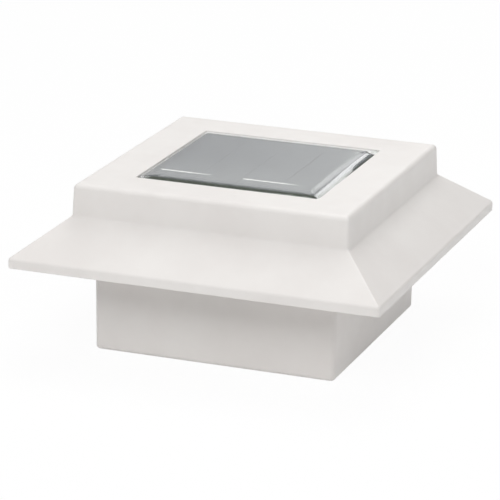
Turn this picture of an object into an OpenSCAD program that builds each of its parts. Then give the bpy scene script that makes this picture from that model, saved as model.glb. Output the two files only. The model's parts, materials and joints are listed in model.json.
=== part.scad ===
// Deck post cap light: a square moulded cap that slips over a 4 in post. A solar panel lies in its
// top, four lamps shine down through the soffit under its eaves, and a tray above the post socket
// holds the battery, the charging board and its switch.
// Millimetres, +Z up. The origin is the centre of the collar's bottom rim.

/* [Eave and roof] */
// Width of the cap across its eaves
eave_width = 165; // [160:1:176]
// Height of the upright edge round the roof
eave_edge = 4; // [3:0.5:6]
// Radius where the upright edge turns into the roof
eave_round = 1.8; // [0.8:0.2:2.4]
// Radius of the eave's upright corners
eave_corner = 1.5; // [0.8:0.1:2.4]
// Height of the sloped roof, from the upright edge to the block
roof_rise = 15.8; // [14.4:0.2:20]
// Thickness of the cap's moulded walls
cap_wall = 2.5; // [2:0.1:3]

/* [Raised block] */
// Width of the block where it leaves the roof
block_width = 124; // [118:0.5:126]
// Height of the block above the roof
block_height = 14.2; // [12:0.2:18]
// Lean of each side of the block over its height
block_draft = 0.6; // [0.2:0.1:1.2]
// Radius of the block's upright corners
block_corner = 2.2; // [2:0.2:3]
// Radius of the block's top edges
block_round = 1.8; // [1:0.2:1.8]

/* [Solar panel] */
// Width of the square opening in the cap's top
window_width = 82.4; // [78:0.2:88]
// Radius of the opening's corners
window_corner = 1; // [0.4:0.2:3]
// Depth of the panel's seat below the cap's top
seat_depth = 5.4; // [4.6:0.2:6.6]
// Thickness of the seat's floor
seat_floor = 2; // [1.4:0.1:2.6]
// Thickness of the walls round the seat
seat_wall = 2; // [1.4:0.1:3]
// Gap between the panel and the opening, on each side
panel_gap = 0.7; // [0.3:0.1:1.2]
// Thickness of the panel's circuit board
panel_board_thickness = 1.2; // [0.8:0.1:1.6]
// Thickness of the sealant bead that beds the panel
sealant_thickness = 0.4; // [0.2:0.1:0.8]
// Width of the sealant bead
sealant_width = 2.5; // [1.5:0.5:5]
// Distance of the sealant bead from the panel's edge
sealant_inset = 2; // [1:0.5:4]
// Distance of the cap's top above the resin's flat middle
resin_recess = 0.2; // [0.1:0.1:0.8]
// Width of the resin's rounded border
resin_border = 10; // [6:0.5:12]
// Fall of the resin across its rounded border
resin_fall = 1.1; // [0.4:0.1:1.4]
// Number of solar cell strips, side by side
cell_count = 4; // [2:1:6]
// Margin from the panel's edge to the cells
cell_margin = 3.3; // [2:0.1:6]
// Gap between neighbouring cells
cell_gap = 0.2; // [0.2:0.1:1]
// Thickness of a solar cell
cell_thickness = 0.25; // [0.2:0.05:0.4]
// Width of the tinned ribbons on the cells
ribbon_width = 0.8; // [0.8:0.1:2]
// Thickness of a ribbon
ribbon_thickness = 0.15; // [0.1:0.05:0.3]
// Distance of the ribbons from the panel's front edge
ribbon_inset = 18.1; // [10:0.1:30]
// Width of the hole for the panel's wires
wire_hole = 6; // [5:0.5:8]

/* [Post collar] */
// Width of the collar where it meets the soffit
collar_width = 109.6; // [107.6:0.2:112]
// Lean of each side of the collar over its height
collar_draft = 0.4; // [0.1:0.1:0.6]
// Radius of the collar's upright corners
collar_corner = 2.2; // [1.8:0.2:4]
// Radius of the collar's bottom outer edge
collar_round = 1.6; // [0.4:0.2:1.6]
// Width of the square socket for the post
socket_width = 102.6; // [101:0.2:103]
// Radius of the socket's corners
socket_corner = 1; // [0.4:0.2:2]
// Depth of the socket, from the rim to the post stop
socket_depth = 38; // [36:0.5:39]
// Height of the eave's underside above the post stop
stop_drop = 3.1; // [2.1:0.5:8.1]
// Width of the ledge that the post stops against
ledge_width = 7.3; // [5:0.1:8]
// Thickness of the ledge
ledge_thickness = 2.5; // [2:0.1:3.5]
// Radius of the corners of the ledge's opening
ledge_corner = 3; // [1:0.5:6]
// Height of the crush ribs on the socket's walls
rib_height = 0.4; // [0.2:0.05:0.45]
// Width of a crush rib
rib_width = 1.4; // [1:0.2:3]
// Distance between the two crush ribs on a wall
rib_spacing = 60; // [30:5:80]
// Height of the rib's foot above the rim
rib_start = 2; // [1:0.5:6]
// Length of the rib's sloped lead-in
rib_lead = 6; // [2:1:12]

/* [Soffit and lamps] */
// Thickness of the soffit under the eaves
soffit_thickness = 2; // [1.6:0.1:2.6]
// Height of the soffit above the eave's underside
soffit_recess = 0.4; // [0.2:0.1:1]
// Gap between the soffit and the inside of the eave
soffit_gap = 0.6; // [0.3:0.1:1]
// Height of the ribs that stiffen the soffit
soffit_rib_height = 2; // [1:0.5:3]
// Thickness of the soffit's ribs
soffit_rib_thickness = 1.5; // [1:0.1:2]
// Distance between the two ribs of a side
soffit_rib_spacing = 76; // [60:2:90]
// Margin from the soffit's edge to its ribs
soffit_rib_margin = 6; // [5:0.5:12]
// Length of a lamp's window in the soffit
lens_length = 24; // [18:1:30]
// Width of a lamp's window
lens_width = 8; // [6:0.5:9]
// Thickness of the lens skin that the light shines through
lens_skin = 1.1; // [0.8:0.1:1.5]
// Width and thickness of the lip that holds a lens
lens_lip = 0.9; // [0.6:0.1:1.2]
// Clearance of a lens in its window
lens_fit = 0.15; // [0.1:0.05:0.3]
// Height of a lamp's board above the soffit
lamp_lift = 4.4; // [3.6:0.1:4.8]
// Width of a lamp's board
lamp_board_width = 7.6; // [6:0.2:8]
// Thickness of a lamp's board
lamp_board_thickness = 1; // [0.8:0.1:1.2]
// Radius of the posts that carry a lamp's board
lamp_post_radius = 2; // [1.6:0.1:2.4]
// Radius of the staked pins through a lamp's board
stake_radius = 0.8; // [0.6:0.1:1]
// Radius of a staked pin's flattened head
stake_head_radius = 1.4; // [1.2:0.1:1.8]
// Height of a staked pin's flattened head
stake_head_height = 0.5; // [0.3:0.1:0.8]
// Length of a lamp chip
chip_length = 3.5; // [2.8:0.1:5]
// Width of a lamp chip
chip_width = 2.8; // [2:0.1:3.5]
// Height of a lamp chip
chip_height = 0.8; // [0.6:0.1:1.2]

/* [Tray] */
// Clearance between the tray and the collar, on each side
tray_fit = 0.4; // [0.2:0.1:0.8]
// Height of the tray above the ledge
tray_height = 6.5; // [6:0.1:7]
// Thickness of the tray's walls and ceiling
tray_wall = 2; // [1.6:0.1:2.2]
// Radius of the bosses that carry the tray
tray_boss_radius = 3.5; // [3:0.1:3.8]
// Height of the ribs on the tray's ceiling
tray_rib_height = 2; // [1:0.5:2.5]
// Distance between the tray's two ribs
tray_rib_spacing = 40; // [30:2:50]
// Distance of the battery bay's middle from the tray's middle
bay_offset = 14; // [13:0.5:16]

/* [Battery] */
// Length of the battery cell, with its button
cell_length = 50.4; // [49:0.1:50.6]
// Radius of the battery cell
cell_radius = 7.1; // [6.9:0.05:7.2]
// Length of the cell's button
button_length = 1.2; // [0.8:0.1:1.6]
// Radius of the cell's button
button_radius = 2.75; // [2:0.05:3]
// Thickness of the cell's printed sleeve
sleeve_thickness = 0.15; // [0.1:0.05:0.3]
// Clearance round the battery cell
cell_fit = 0.3; // [0.2:0.1:0.5]
// Length of the squeezed contact spring
spring_length = 5.6; // [5:0.1:6.2]
// Turns of the contact spring
spring_turns = 4; // [3:1:5]
// Radius of the spring's wide end
spring_wide = 5.2; // [4.4:0.1:6]
// Radius of the spring's narrow end
spring_narrow = 3; // [2:0.1:4]
// Radius of the spring's wire
spring_wire = 0.35; // [0.25:0.05:0.45]
// Thickness of the contact plates
contact_thickness = 0.4; // [0.3:0.05:0.6]
// Width of the contact plates
contact_width = 12; // [8:0.5:14]
// Height of the dimple that meets the cell's button
dimple_height = 0.6; // [0.4:0.1:1]
// Width of the contacts' solder tabs
tab_width = 4; // [3:0.5:5]
// Reach of the solder tabs above the bay
tab_rise = 2.5; // [1.5:0.1:3]

/* [Battery lid] */
// Length of the lid
lid_length = 80; // [79:0.5:82]
// Width of the lid
lid_width = 27; // [25:0.5:27.5]
// Radius of the lid's corners
lid_corner = 4; // [2:0.5:5]
// Thickness of the lid's plate
lid_plate = 1.9; // [1.6:0.1:2.2]
// Thickness of the lid's seal
seal_thickness = 0.8; // [0.6:0.1:1]
// Width of the seal
seal_width = 1.8; // [1.4:0.1:1.9]
// Margin from the bay's mouth to the seal
seal_margin = 0.8; // [0.4:0.1:0.9]
// Gap between the lid's rim and the tray
lid_seat_gap = 0.1; // [0.05:0.05:0.3]
// Thickness of the lid's rim
lid_rim = 1.4; // [1:0.1:1.6]
// Distance between the lid's two screws
lid_screw_spacing = 71; // [71:0.1:71.4]
// Height of the bosses that take the lid's screws
lid_boss_height = 8; // [7.5:0.5:10]
// Thickness of the wall round a lid screw's head
lid_pad_wall = 1; // [0.8:0.1:1]
// Distance between the lid's two cradle ribs
cradle_spacing = 28; // [16:2:36]
// Width of a cradle rib
cradle_width = 10; // [6:0.5:12]

/* [Charging board] */
// Length of the circuit board
board_length = 50; // [48:1:56]
// Width of the circuit board
board_width = 26; // [25:0.5:28]
// Thickness of the circuit board
board_thickness = 1.6; // [1.2:0.1:2]
// Distance of the circuit board's middle from the tray's middle
board_offset = 21; // [20:0.5:22]
// Margin from the board's ends to its screws
board_screw_margin = 4; // [3:0.5:6]
// Radius of the standoffs under the board
standoff_radius = 2.6; // [2.2:0.1:3]
// Length of the switch's case
switch_length = 8.6; // [8.4:0.1:9]
// Width of the switch's case
switch_width = 3.7; // [3.5:0.1:4]
// Height of the switch's case
switch_height = 3.7; // [3.4:0.1:4.2]
// Thickness of the switch's case
switch_wall = 0.4; // [0.3:0.05:0.45]
// Gap between the switch's case and the tray
switch_gap = 0.5; // [0.3:0.1:1]
// Distance of the switch from the board's middle
switch_offset = 6; // [5:0.5:8]
// Travel of the switch
switch_travel = 2; // [1.6:0.1:2.2]
// Width of the switch's knob
knob_width = 1.9; // [1.5:0.1:2]
// Reach of the switch's knob below the tray's ceiling
knob_reach = 1.6; // [1:0.1:2]
// Clearance of the knob in the switch
knob_play = 0.15; // [0.1:0.05:0.2]

/* [Screws] */
// Radius of the shank of the housing, tray and lid screws
screw_radius = 1.3; // [1.1:0.05:1.5]
// Radius of a screw's head
head_radius = 2.6; // [2.3:0.1:2.6]
// Height of a screw's head
head_height = 1.6; // [1.3:0.1:1.7]
// Radius of the shank of the board's screws
small_screw_radius = 1; // [0.8:0.05:1.1]
// Radius of the head of the board's screws
small_head_radius = 1.9; // [1.6:0.1:2.2]
// Height of the head of the board's screws
small_head_height = 1.2; // [1:0.1:1.5]
// Length of the housing screws under their heads
housing_screw_length = 7; // [6:0.5:8]
// Length of the tray screws under their heads
tray_screw_length = 7; // [6:0.5:7.5]
// Length of the lid screws under their heads
lid_screw_length = 6.8; // [6:0.1:7]
// Length of the board's screws under their heads
board_screw_length = 4.6; // [4:0.1:5]
// Clearance of a screw or pin in its hole
hole_fit = 0.15; // [0.1:0.05:0.3]
// Clearance of a screw in the boss that it bites
thread_fit = 0.05; // [0.02:0.01:0.1]
// Clearance round a sunk screw head
head_fit = 0.3; // [0.2:0.1:0.4]

/* [Hidden] */
$fn = 48;
// Overshoot of a cut past the face that it goes through
past = 1;
// Turns that bring the front side to each side in order: front, right, back, left
side_turns = [0, 90, 180, 270];

// Heights of the cap
eave_z = socket_depth + stop_drop;
roof_z = eave_z + eave_edge;
block_z = roof_z + roof_rise;
top_z = block_z + block_height;
// Half widths of the cap
eave_half = eave_width / 2;
eave_inside = eave_half - cap_wall;
block_half = block_width / 2;
block_top_half = block_half - block_draft;
// Pitch of the roof, and its wall measured upright
roof_slope = roof_rise / (eave_half - block_half);
roof_pitch = atan(roof_slope);
roof_wall = cap_wall / cos(roof_pitch);

// The solar panel, from its seat up
window_half = window_width / 2;
panel_half = window_half - panel_gap;
seat_z = top_z - seat_depth;
seat_low = seat_z - seat_floor;
panel_z = seat_z + sealant_thickness;
cells_z = panel_z + panel_board_thickness;
ribbons_z = cells_z + cell_thickness;
resin_top = top_z - resin_recess;
cells_half = panel_half - cell_margin;
cell_pitch = (2 * cells_half + cell_gap) / cell_count;
// Ends of each ribbon, as shares of the cells' half width
ribbon_spans = [[-1, -0.38], [0.02, 0.68]];
wire_hole_at = [-0.3 * panel_half, -0.5 * panel_half];

// The collar, from its rim up
collar_half = collar_width / 2;
socket_half = socket_width / 2;
stop_z = socket_depth;
ledge_z = stop_z + ledge_thickness;
ledge_half = socket_half - ledge_width;

// The soffit, and the ring of space under the eaves
soffit_z = eave_z + soffit_recess;
soffit_top = soffit_z + soffit_thickness;
soffit_half = eave_inside - soffit_gap;
ring_mid = (collar_half + eave_inside) / 2;
lens_corner = 1;
lens_rim = 1;
lens_half = [lens_length / 2, lens_width / 2];
lamp_z = soffit_top + lamp_lift;
lamp_margin = 0.4;
lamp_post_at = lens_half.x + lens_lip + lamp_margin + lamp_post_radius;
lamp_board_half = [lamp_post_at + lamp_post_radius + lamp_margin, lamp_board_width / 2];

// The housing screws stand in wells in the soffit
well_radius = head_radius + head_fit;
well_wall = 1.4;
well_depth = head_height + 0.6;
well_floor = 1.8;
cap_boss_radius = 3.8;
cap_boss_z = soffit_z + well_depth + well_floor;

// The tray, from the ledge up
tray_half = socket_half - tray_fit;
tray_top = ledge_z + tray_height;
ceiling_z = tray_top - tray_wall;
tray_boss_gap = 0.4;
tray_boss_at = tray_half - tray_wall - tray_boss_gap - tray_boss_radius;
tray_screw_fit = 0.3;
tray_rib_thickness = 1.4;

// The battery bay, with the cell lying along X
bay_half = [
    (cell_length + spring_length + 2 * contact_thickness + dimple_height) / 2,
    cell_radius + 2 * cell_fit
];
cell_lift = 0.6;
cell_z = ceiling_z + cell_lift + cell_radius;
bay_top = cell_z + cell_radius + cell_fit;
bay_roof = bay_top + tray_wall;
bay_corner = 1;
cell_start = -bay_half.x + contact_thickness + spring_length;
cell_end = cell_start + cell_length - button_length;
tab_fit = 0.2;

// The lid, from its outer face up to the tray's ceiling
seat_for_seal = ceiling_z - seal_thickness;
lid_z = seat_for_seal - lid_plate;
lid_rim_z = ceiling_z - lid_seat_gap;
lid_half = [lid_length / 2, lid_width / 2];
lid_screw_at = lid_screw_spacing / 2;
lid_boss_radius = screw_radius + 1.7;
lid_pad_radius = head_radius + head_fit + lid_pad_wall;
cradle_thickness = 1.2;
cradle_top = cell_z - cell_radius - cell_fit;

// The charging board, and the switch under it
board_half = [board_length / 2, board_width / 2];
board_z = tray_top + switch_gap + switch_height;
board_top = board_z + board_thickness;
board_screw_at = board_half.x - board_screw_margin;
switch_y = -board_offset - switch_offset;
switch_z = board_z - switch_height;
pin_pitch = 2.5;
pin_radius = 0.4;
pin_rise = 0.8;
knob_foot = [5.2, 2.4, 1.3];
knob_low = ceiling_z - knob_reach;
slot_margin = 0.5;
guard_wall = 1.2;
guard_height = 0.8;

// Parts on the charging board, measured from its middle
chip_at = [-6, 4];
inductor_at = [4, 5];
capacitor_at = [13, 3];

// The wires' routes, each from the lamp, contact or panel to the charging board
wire_radius = 0.65;
wire_sides = 6;
wire_steps = 2;
wire_touch = 0.1;
wire_rise = 2.4;
wire_reach = 1.8;
lamp_top = lamp_z + lamp_board_thickness;
lamp_wire_at = ring_mid - 1.1;
tab_z = bay_roof + tab_rise - 1;
tab_x = bay_half.x + wire_touch;
front_row = -board_offset - 10;
back_row = -board_offset + 10;
function landing(x, y) = [[x, y, board_top + wire_rise], [x, y, board_top + wire_touch]];
function from_lamp(x, y) = [[x, y, lamp_top + wire_touch], [x, y, lamp_top + wire_rise - 0.3]];
function from_panel(x, y) = [
    [x, y, panel_z - wire_touch],
    [x, y, panel_z - 4],
    [x - 0.4, y - 2, board_top + 8.2],
    [x - 2.6, y - 7, board_top + 4.2]
];
function from_tab(x, y) = [
    [x, y, tab_z],
    [x + wire_reach, y, tab_z],
    [x + wire_reach + 2.4, y - 6, tab_z - 2.6],
    [x + 1.2, y - 16, board_top + 4.2]
];
solar_red_route = concat(
    from_panel(wire_hole_at.x - 1.5, wire_hole_at.y),
    landing(wire_hole_at.x - 5, front_row + 1)
);
solar_black_route = concat(
    from_panel(wire_hole_at.x + 1.5, wire_hole_at.y),
    landing(wire_hole_at.x - 1, front_row + 1)
);
battery_red_route = concat(
    from_tab(tab_x, bay_offset),
    [[22, back_row + 3, board_top + 3]],
    landing(14, back_row)
);
battery_black_route = concat(
    mirrored(from_tab(tab_x, bay_offset)),
    [[-23, back_row + 2, board_top + 3]],
    landing(-18, back_row)
);
front_red_route = concat(
    from_lamp(-4, -lamp_wire_at),
    [[-3, -lamp_wire_at + 4, tray_top + 5.5], [0, -50, tray_top + 6.2], [4, -38, board_top + 1.8]],
    landing(6, front_row)
);
front_black_route = concat(
    from_lamp(4, -lamp_wire_at),
    [[5, -lamp_wire_at + 4, tray_top + 5.5], [7, -50, tray_top + 6.2], [9, -38, board_top + 1.8]],
    landing(10, front_row)
);
right_red_route = concat(
    from_lamp(lamp_wire_at, -4),
    [[lamp_wire_at - 4, -5.5, tray_top + 5.4], [52, -11, tray_top + 5.8]],
    [[40, -20, board_top + 0.8], [29, -29, board_top + 2]],
    landing(22, front_row)
);
right_black_route = concat(
    from_lamp(lamp_wire_at, 4),
    [[lamp_wire_at - 4, 2, tray_top + 5.4], [52, -5, tray_top + 5.8]],
    [[40, -15, board_top + 0.8], [30, -24, board_top + 2]],
    landing(22, front_row + 3)
);
back_red_route = concat(
    from_lamp(4, lamp_wire_at),
    [[7, lamp_wire_at - 4, tray_top + 5.2], [18, 54, tray_top + 5], [32, 44, tray_top + 4]],
    [[41, 32, tray_top + 3], [43.5, 20, tray_top + 2.8], [43.5, 4, tray_top + 2.8]],
    [[38, -6, tray_top + 4], [29, -12, board_top + 1]],
    landing(22, back_row - 3)
);
back_black_route = concat(
    from_lamp(-4, lamp_wire_at),
    [[0, lamp_wire_at - 5, tray_top + 5.2], [16, 51.5, tray_top + 5], [30, 41.5, tray_top + 4]],
    [[38.5, 30.5, tray_top + 3], [41, 19, tray_top + 2.8], [41, 5, tray_top + 2.8]],
    [[36, -3.5, tray_top + 4], [28, -9, board_top + 1]],
    landing(22, back_row)
);

// Colours
shell_white = [0.93, 0.92, 0.9];
board_green = [0.07, 0.3, 0.16];
cell_grey = [0.2, 0.21, 0.23];
tin = [0.8, 0.81, 0.82];
steel = [0.62, 0.63, 0.65];
seal_grey = [0.16, 0.16, 0.17];
moulding_black = [0.08, 0.08, 0.09];
lens_frost = [0.9, 0.9, 0.86, 0.7];
resin_clear = [0.72, 0.75, 0.76, 0.4];
wire_red = [0.7, 0.08, 0.07];
wire_black = [0.06, 0.06, 0.06];

// A closed outline from the points of its right half, bottom to top
function both_sides(right) = concat(
    right,
    [for (i = [len(right) - 1 : -1 : 0]) [-right[i].x, right[i].y]]
);

// Height of the roof's underside at a distance from the cap's middle
function roof_underside(distance) = roof_z + (eave_half - distance) * roof_slope - roof_wall;

// A route with its points mirrored from right to left
function mirrored(route) = [for (point = route) [-point.x, point.y, point.z]];

// A plate with round corners, standing on z = 0
module slab(half_x, half_y, height, corner) {
    linear_extrude(height) {
        square([2 * half_x, 2 * (half_y - corner)], center = true);
        square([2 * (half_x - corner), 2 * half_y], center = true);
        for (x = [-1, 1])
            for (y = [-1, 1])
                translate([x * (half_x - corner), y * (half_y - corner)])
                    circle(corner);
    }
}

// A square frame with round corners, standing on z = 0
module frame(outer, inner, height, outer_corner, inner_corner) {
    difference() {
        slab(outer.x, outer.y, height, outer_corner);
        translate([0, 0, -past])
            slab(inner.x, inner.y, height + 2 * past, inner_corner);
    }
}

// A bar along Y whose section is the child's outline
module bar(half_length) {
    rotate([90, 0, 0])
        linear_extrude(2 * half_length, center = true)
            children();
}

// A four-sided body with the child's outline on every side, mitred at its corners
module mitred(half_length) {
    intersection() {
        bar(half_length)
            children();
        rotate(90)
            bar(half_length)
                children();
    }
}

// Places its child at the four corners of a square
module at_corners(distance) {
    for (x = [-1, 1])
        for (y = [-1, 1])
            translate([x * distance, y * distance, 0])
                children();
}

// Places its child on one side, at the middle of the ring under the eaves
module under_eave(turn) {
    rotate(turn)
        translate([0, -ring_mid, 0])
            children();
}

// Places its child at both ends of a line along X
module at_ends(distance) {
    for (x = [-1, 1])
        translate([x * distance, 0, 0])
            children();
}

// Side outline of a block that leans in towards a rounded top
module rounded_outline(half_low, half_high, height, edge) {
    lean = atan((half_low - half_high) / height);
    arc_x = half_high - edge * (1 / cos(lean) - tan(lean));
    arc_z = height - edge;
    polygon(both_sides([
        [half_low, 0],
        [arc_x + edge * cos(lean), arc_z + edge * sin(lean)],
        [arc_x, height]
    ]));
    for (side = [-1, 1])
        translate([side * arc_x, arc_z])
            circle(edge);
}

// A leaning block on z = 0, with round upright corners and round top edges
module rounded_block(half_low, half_high, height, corner, edge) {
    lean = atan((half_low - half_high) / height);
    middle = half_high - edge * (1 / cos(lean) - tan(lean)) - (corner - edge);
    for (turn = [0, 90])
        rotate(turn)
            bar(middle)
                rounded_outline(half_low, half_high, height, edge);
    for (turn = side_turns)
        rotate(turn)
            translate([middle, middle, 0])
                rotate_extrude(angle = 90)
                    intersection() {
                        translate([-middle, 0])
                            rounded_outline(half_low, half_high, height, edge);
                        square([half_low - middle, height]);
                    }
}

// A cross-head screw that points up, with the seat of its head on z = 0
module screw(radius, length, head, head_rise) {
    dome = 1.6 * head;
    slot = 0.28 * head;
    slot_depth = 0.6 * head_rise;
    difference() {
        union() {
            intersection() {
                translate([0, 0, -head_rise])
                    cylinder(h = head_rise, r = head);
                translate([0, 0, dome - head_rise])
                    sphere(dome);
            }
            cylinder(h = length - radius, r = radius);
            translate([0, 0, length - radius])
                cylinder(h = radius, r1 = radius, r2 = radius / 4);
        }
        for (turn = [0, 90])
            rotate(turn)
                translate([0, 0, -head_rise])
                    cube([1.2 * head, slot, 2 * slot_depth], center = true);
    }
}

// Geometry of a round tube swept along a route
function unit(v) = v / norm(v);
function heading(path, i) = unit(path[min(i + 1, len(path) - 1)] - path[max(i - 1, 0)]);
function square_to(v, axis) = unit(v - (v * axis) * axis);
function between(a, b, c, d, t) = (
    2 * b + (c - a) * t + (2 * a - 5 * b + 4 * c - d) * t * t + (3 * b - a - 3 * c + d) * t * t * t
) / 2;
function smooth(route, steps) = concat(
    [for (i = [0 : len(route) - 2]) for (step = [0 : steps - 1]) between(
        route[max(i - 1, 0)],
        route[i],
        route[i + 1],
        route[min(i + 2, len(route) - 1)],
        step / steps
    )],
    [route[len(route) - 1]]
);
function sidewards(path, start) = [
    for (
        i = 0, side = square_to(start, heading(path, 0));
        i < len(path);
        i = i + 1, side = square_to(side, heading(path, min(i, len(path) - 1)))
    ) side
];

// A tube along a path. start points sidewards from the path's first point.
module tube(path, radius, sides, start) {
    across = sidewards(path, start);
    points = [
        for (i = [0 : len(path) - 1]) let (up = cross(heading(path, i), across[i]))
            for (k = [0 : sides - 1])
                path[i] + radius * (cos(360 * k / sides) * across[i] + sin(360 * k / sides) * up)
    ];
    walls = [
        for (i = [0 : len(path) - 2]) for (k = [0 : sides - 1]) let (next = (k + 1) % sides)
            [i * sides + k, (i + 1) * sides + k, (i + 1) * sides + next, i * sides + next]
    ];
    first = [for (k = [0 : sides - 1]) k];
    last = [for (k = [sides - 1 : -1 : 0]) (len(path) - 1) * sides + k];
    polyhedron(points, concat([first], walls, [last]));
}

// Side outline of the eave and roof
module roof_outline() {
    arc_x = eave_half - eave_round;
    arc_z = roof_z + eave_round * (roof_slope - 1 / cos(roof_pitch));
    polygon(both_sides([
        [eave_half, eave_z],
        [eave_half, arc_z],
        [arc_x + eave_round * sin(roof_pitch), arc_z + eave_round * cos(roof_pitch)],
        [block_half, block_z]
    ]));
    for (side = [-1, 1])
        translate([side * arc_x, arc_z])
            circle(eave_round);
}

// Side outline of the space inside the cap
module hollow_outline() {
    polygon(both_sides([
        [eave_inside, eave_z - past],
        [eave_inside, roof_underside(eave_inside)],
        [block_half - cap_wall, roof_underside(block_half - cap_wall)],
        [block_top_half - cap_wall, top_z - cap_wall]
    ]));
}

// The white cap: hipped roof, raised block, the panel's seat and four screw bosses
module cap_shell() {
    block_root = 1;
    block_lean = block_draft / block_height;
    color(shell_white)
    difference() {
        union() {
            intersection() {
                mitred(eave_half)
                    roof_outline();
                translate([0, 0, eave_z])
                    slab(eave_half, eave_half, block_z - eave_z, eave_corner);
            }
            translate([0, 0, block_z - block_root])
                rounded_block(
                    block_half + block_root * block_lean,
                    block_top_half,
                    block_height + block_root,
                    block_corner,
                    block_round
                );
        }
        difference() {
            mitred(eave_half)
                hollow_outline();
            at_corners(ring_mid)
                translate([0, 0, cap_boss_z])
                    cylinder(h = top_z, r = cap_boss_radius);
            translate([0, 0, seat_low])
                slab(
                    window_half + seat_wall,
                    window_half + seat_wall,
                    seat_depth + seat_floor,
                    window_corner + seat_wall
                );
        }
        translate([0, 0, seat_z])
            slab(window_half, window_half, seat_depth + past, window_corner);
        translate([wire_hole_at.x, wire_hole_at.y, seat_low - past])
            cylinder(h = seat_floor + 2 * past, d = wire_hole);
        at_corners(ring_mid)
            translate([0, 0, cap_boss_z - past])
                cylinder(h = housing_screw_length - well_floor + 2 * past, r = screw_radius + thread_fit);
    }
}

// The ledge that the post stops against, with the bosses that carry the tray
module ledge() {
    difference() {
        union() {
            translate([0, 0, stop_z])
                frame(
                    [socket_half + past, socket_half + past],
                    [ledge_half, ledge_half],
                    ledge_thickness,
                    socket_corner,
                    ledge_corner
                );
            at_corners(tray_boss_at)
                translate([0, 0, stop_z])
                    cylinder(h = ceiling_z - stop_z, r = tray_boss_radius);
        }
        at_corners(tray_boss_at)
            translate([0, 0, tray_top - tray_screw_length - past / 2])
                cylinder(h = tray_screw_length, r = screw_radius + thread_fit);
    }
}

// The ribs on the socket's walls, crushed as the post goes in
module crush_ribs() {
    for (turn = side_turns)
        rotate(turn)
            at_ends(rib_spacing / 2)
                translate([0, -socket_half, 0])
                    rotate([90, 0, 90])
                        linear_extrude(rib_width, center = true)
                            polygon([
                                [-past, rib_start],
                                [0, rib_start],
                                [rib_height, rib_start + rib_lead],
                                [rib_height, stop_z + ledge_thickness / 2],
                                [-past, stop_z + ledge_thickness / 2]
                            ]);
}

// The white sleeve over the post, with the soffit that closes the cap from below
module post_collar() {
    low_half = collar_half - collar_draft;
    color(shell_white)
    difference() {
        union() {
            translate([0, 0, soffit_top])
                mirror([0, 0, 1])
                    rounded_block(collar_half, low_half, soffit_top, collar_corner, collar_round);
            translate([0, 0, soffit_z])
                slab(soffit_half, soffit_half, soffit_thickness, eave_corner);
            at_corners(ring_mid)
                translate([0, 0, soffit_z])
                    cylinder(h = cap_boss_z - soffit_z, r = well_radius + well_wall);
            for (turn = side_turns)
                rotate(turn)
                    soffit_side();
        }
        translate([0, 0, -past])
            slab(socket_half, socket_half, soffit_top + 2 * past, socket_corner);
        at_corners(ring_mid) {
            translate([0, 0, soffit_z - past])
                cylinder(h = well_depth + past, r = well_radius);
            translate([0, 0, soffit_z])
                cylinder(h = cap_boss_z, r = screw_radius + hole_fit);
        }
        for (turn = side_turns)
            under_eave(turn)
                translate([0, 0, soffit_z - past])
                    slab(
                        lens_half.x + lens_fit,
                        lens_half.y + lens_fit,
                        soffit_thickness + 2 * past,
                        lens_corner
                    );
    }
    color(shell_white) {
        ledge();
        crush_ribs();
    }
}

// The front side of the soffit: its two ribs, and the staked posts of a lamp's board
module soffit_side() {
    rib_end = soffit_half - soffit_rib_margin;
    at_ends(soffit_rib_spacing / 2)
        translate([-soffit_rib_thickness / 2, -rib_end, soffit_z])
            cube([
                soffit_rib_thickness,
                rib_end - collar_half + past,
                soffit_thickness + soffit_rib_height
            ]);
    under_eave(0)
        at_ends(lamp_post_at) {
            translate([0, 0, soffit_z])
                cylinder(h = lamp_z - soffit_z, r = lamp_post_radius);
            translate([0, 0, lamp_z])
                cylinder(h = lamp_board_thickness, r = stake_radius);
            translate([0, 0, lamp_z + lamp_board_thickness])
                cylinder(h = stake_head_height, r = stake_head_radius);
        }
}

// Four screws up through the soffit's wells into the cap's bosses
module housing_screws() {
    color(steel)
    at_corners(ring_mid)
        translate([0, 0, soffit_z + well_depth])
            screw(screw_radius, housing_screw_length, head_radius, head_height);
}

// The bead of sealant that beds the panel on its seat
module panel_sealant() {
    outer = panel_half - sealant_inset;
    inner = outer - sealant_width;
    color(seal_grey)
    translate([0, 0, seat_z])
        frame([outer, outer], [inner, inner], sealant_thickness, 1.5 * window_corner, window_corner);
}

// The circuit board under the solar cells
module panel_board() {
    color(board_green)
    translate([0, 0, panel_z])
        slab(panel_half, panel_half, panel_board_thickness, window_corner);
}

// The strips of solar cell, side by side on their board
module solar_cells() {
    color(cell_grey)
    for (i = [0 : cell_count - 1])
        translate([-cells_half + i * cell_pitch, -cells_half, cells_z])
            cube([cell_pitch - cell_gap, 2 * cells_half, cell_thickness]);
}

// The tinned ribbons that join the strips
module cell_ribbons() {
    color(tin)
    for (span = cells_half * ribbon_spans)
        translate([span[0], -panel_half + ribbon_inset - ribbon_width / 2, ribbons_z])
            cube([span[1] - span[0], ribbon_width, ribbon_thickness]);
}

// Side outline of the resin over the cells: a flat middle and rounded borders
module pillow_outline() {
    arc = (resin_border * resin_border + resin_fall * resin_fall) / (2 * resin_fall);
    flat = panel_half - resin_border;
    rise = resin_top - cells_z;
    intersection() {
        translate([-panel_half, 0])
            square([2 * panel_half, rise]);
        union() {
            translate([-flat, 0])
                square([2 * flat, rise]);
            for (side = [-1, 1])
                translate([side * flat, rise - arc])
                    circle(arc, $fn = 240);
        }
    }
}

// The clear resin poured over the cells
module panel_resin() {
    color(resin_clear)
    difference() {
        translate([0, 0, cells_z])
            intersection() {
                mitred(panel_half)
                    pillow_outline();
                slab(panel_half, panel_half, top_z - cells_z, window_corner);
            }
        solar_cells();
        cell_ribbons();
    }
}

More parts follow.
